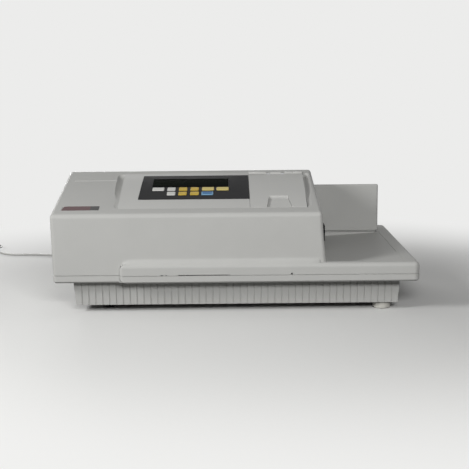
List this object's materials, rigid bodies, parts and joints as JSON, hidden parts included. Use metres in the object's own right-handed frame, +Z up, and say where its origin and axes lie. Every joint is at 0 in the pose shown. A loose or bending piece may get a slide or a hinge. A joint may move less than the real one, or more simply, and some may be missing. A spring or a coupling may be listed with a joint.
{
  "type": "microplate reader",
  "caption": "Bench microplate reader with a sloped key deck, a hinged cuvette lid, a side platform and a plate drawer that slides out over it.",
  "frame": {"origin": "centre of the instrument's footprint, on the surface its feet stand on", "axes": "+X to the operator's right, where the drawer comes out, +Y to the rear, +Z up"},
  "size_m": [0.861, 0.6355, 0.205],
  "materials": {
    "housing_plastic": "warm light grey moulded plastic, fine texture",
    "dark_plastic": "black moulded plastic",
    "overlay_film": "dark grey film",
    "display_glass": "dark tinted window",
    "badge_plate": "black and dark red plate",
    "circuit_board": "green board",
    "bright_steel": "ground steel",
    "bronze": "sintered bronze",
    "aluminium": "plain aluminium",
    "motor_black": "black",
    "gear_plastic": "natural plastic",
    "filter_glass": "coloured filter glass",
    "panel_metal": "powder coated sheet",
    "dark_rubber": "black rubber",
    "pale_rubber": "pale rubber",
    "cable_sheath": "light grey sheath",
    "key_white": "white",
    "key_yellow": "yellow",
    "key_cream": "pale yellow",
    "key_blue": "blue"
  },
  "bodies": {
    "housing": {"badge": "badge_plate", "base_pan": "housing_plastic", "cable": "cable_sheath", "cable_coil": "cable_sheath", "cable_end": "dark_plastic", "cable_plug": "cable_sheath", "cable_socket": "dark_plastic", "case_screws": "bright_steel", "control_deck": "housing_plastic", "cuvette_holder": "dark_plastic", "dark_feet": "dark_rubber", "detector_bar": "circuit_board", "display_module": "circuit_board", "display_window": "display_glass", "drawer_bezel": "dark_plastic", "drawer_motor": "motor_black", "fan_frame": "dark_plastic", "filter_motor": "motor_black", "flash_lamp": "aluminium", "grating_motor": "motor_black", "guide_rods": "bright_steel", "key_board": "circuit_board", "keypad_overlay": "overlay_film", "lid_hinge_pin": "bright_steel", "lower_cover": "housing_plastic", "main_board": "circuit_board", "monochromator": "aluminium", "motor_bracket": "aluminium", "optics_head": "aluminium", "pale_foot": "pale_rubber", "power_inlet": "dark_plastic", "power_supply": "panel_metal", "rear_block": "housing_plastic", "rear_panel": "panel_metal", "rod_posts": "aluminium", "switch_frame": "dark_plastic", "upper_cover": "housing_plastic"},
    "lid": {"cuvette_lid": "housing_plastic"},
    "drawer": {"drawer_tray": "dark_plastic", "drawer_front": "dark_plastic", "tray_bushes": "bronze", "drawer_rack": "gear_plastic", "clamp_pin": "bright_steel"},
    "clamp": {"plate_clamp": "dark_plastic"},
    "pinion": {"drive_pinion": "gear_plastic"},
    "rocker": {"power_rocker": "dark_plastic"},
    "fan": {"fan_rotor": "dark_plastic"},
    "wheel": {"filter_wheel": "aluminium", "filters": "filter_glass"},
    "grating_turntable": {"grating": "aluminium"},
    "button_1": {"key_1": "key_white"},
    "button_2": {"key_2": "key_white"},
    "button_3": {"key_3": "key_yellow"},
    "button_4": {"key_4": "key_yellow"},
    "button_5": {"key_5": "key_cream"},
    "button_6": {"key_6": "key_cream"},
    "button_7": {"key_7": "key_white"},
    "button_8": {"key_8": "key_yellow"},
    "button_9": {"key_9": "key_yellow"},
    "button_10": {"key_10": "key_blue"}
  },
  "joints": [
    {"name": "lid_hinge", "type": "hinge", "parent": "housing", "child": "lid", "pos_m": [0.072, 0.027, 0.19996], "axis": [-1, 0, 0], "range_deg": [0, 110]},
    {"name": "drawer_slide", "type": "slide", "parent": "housing", "child": "drawer", "axis": [1, 0, 0], "range_m": [-0.112, 0.128]},
    {"name": "pinion_spin", "type": "hinge", "parent": "housing", "child": "pinion", "pos_m": [0.035, 0.004, 0.08125], "axis": [0, 1, 0], "range_deg": [-645, 737]},
    {"name": "clamp_pivot", "type": "hinge", "parent": "drawer", "child": "clamp", "pos_m": [0.013, 0.002, 0.105], "axis": [0, 0, 1], "range_deg": [0, 14], "stiffness_Nm_per_rad": 0.02, "springref_deg": -5.73},
    {"name": "power_switch", "type": "hinge", "parent": "housing", "child": "rocker", "pos_m": [0.182, 0.184, 0.122], "axis": [1, 0, 0], "range_deg": [0, 18]},
    {"name": "fan_spin", "type": "hinge", "parent": "housing", "child": "fan", "pos_m": [-0.215, 0.17, 0.118], "axis": [0, 1, 0], "continuous": true},
    {"name": "wheel_spin", "type": "hinge", "parent": "housing", "child": "wheel", "pos_m": [-0.0865, -0.092, 0.06], "axis": [1, 0, 0], "continuous": true},
    {"name": "grating_turn", "type": "hinge", "parent": "housing", "child": "grating_turntable", "pos_m": [-0.13, -0.095, 0.03], "axis": [0, 0, 1], "range_deg": [-25, 25]},
    {"name": "key_1_press", "type": "slide", "parent": "housing", "child": "button_1", "axis": [0, 0.1925, -0.9813], "range_m": [0, 0.0008], "stiffness_N_per_m": 300, "springref_m": -0.0015},
    {"name": "key_2_press", "type": "slide", "parent": "housing", "child": "button_2", "axis": [0, 0.1925, -0.9813], "range_m": [0, 0.0008], "stiffness_N_per_m": 300, "springref_m": -0.0015},
    {"name": "key_3_press", "type": "slide", "parent": "housing", "child": "button_3", "axis": [0, 0.1925, -0.9813], "range_m": [0, 0.0008], "stiffness_N_per_m": 300, "springref_m": -0.0015},
    {"name": "key_4_press", "type": "slide", "parent": "housing", "child": "button_4", "axis": [0, 0.1925, -0.9813], "range_m": [0, 0.0008], "stiffness_N_per_m": 300, "springref_m": -0.0015},
    {"name": "key_5_press", "type": "slide", "parent": "housing", "child": "button_5", "axis": [0, 0.1925, -0.9813], "range_m": [0, 0.0008], "stiffness_N_per_m": 300, "springref_m": -0.0015},
    {"name": "key_6_press", "type": "slide", "parent": "housing", "child": "button_6", "axis": [0, 0.1925, -0.9813], "range_m": [0, 0.0008], "stiffness_N_per_m": 300, "springref_m": -0.0015},
    {"name": "key_7_press", "type": "slide", "parent": "housing", "child": "button_7", "axis": [0, 0.2072, -0.9783], "range_m": [0, 0.0008], "stiffness_N_per_m": 300, "springref_m": -0.0015},
    {"name": "key_8_press", "type": "slide", "parent": "housing", "child": "button_8", "axis": [0, 0.2072, -0.9783], "range_m": [0, 0.0008], "stiffness_N_per_m": 300, "springref_m": -0.0015},
    {"name": "key_9_press", "type": "slide", "parent": "housing", "child": "button_9", "axis": [0, 0.2072, -0.9783], "range_m": [0, 0.0008], "stiffness_N_per_m": 300, "springref_m": -0.0015},
    {"name": "key_10_press", "type": "slide", "parent": "housing", "child": "button_10", "axis": [0, 0.2072, -0.9783], "range_m": [0, 0.0008], "stiffness_N_per_m": 300, "springref_m": -0.0015}
  ],
  "couplings": [
    {"joint": "pinion_spin", "follows": "drawer_slide", "rad_per_m": 100}
  ]
}
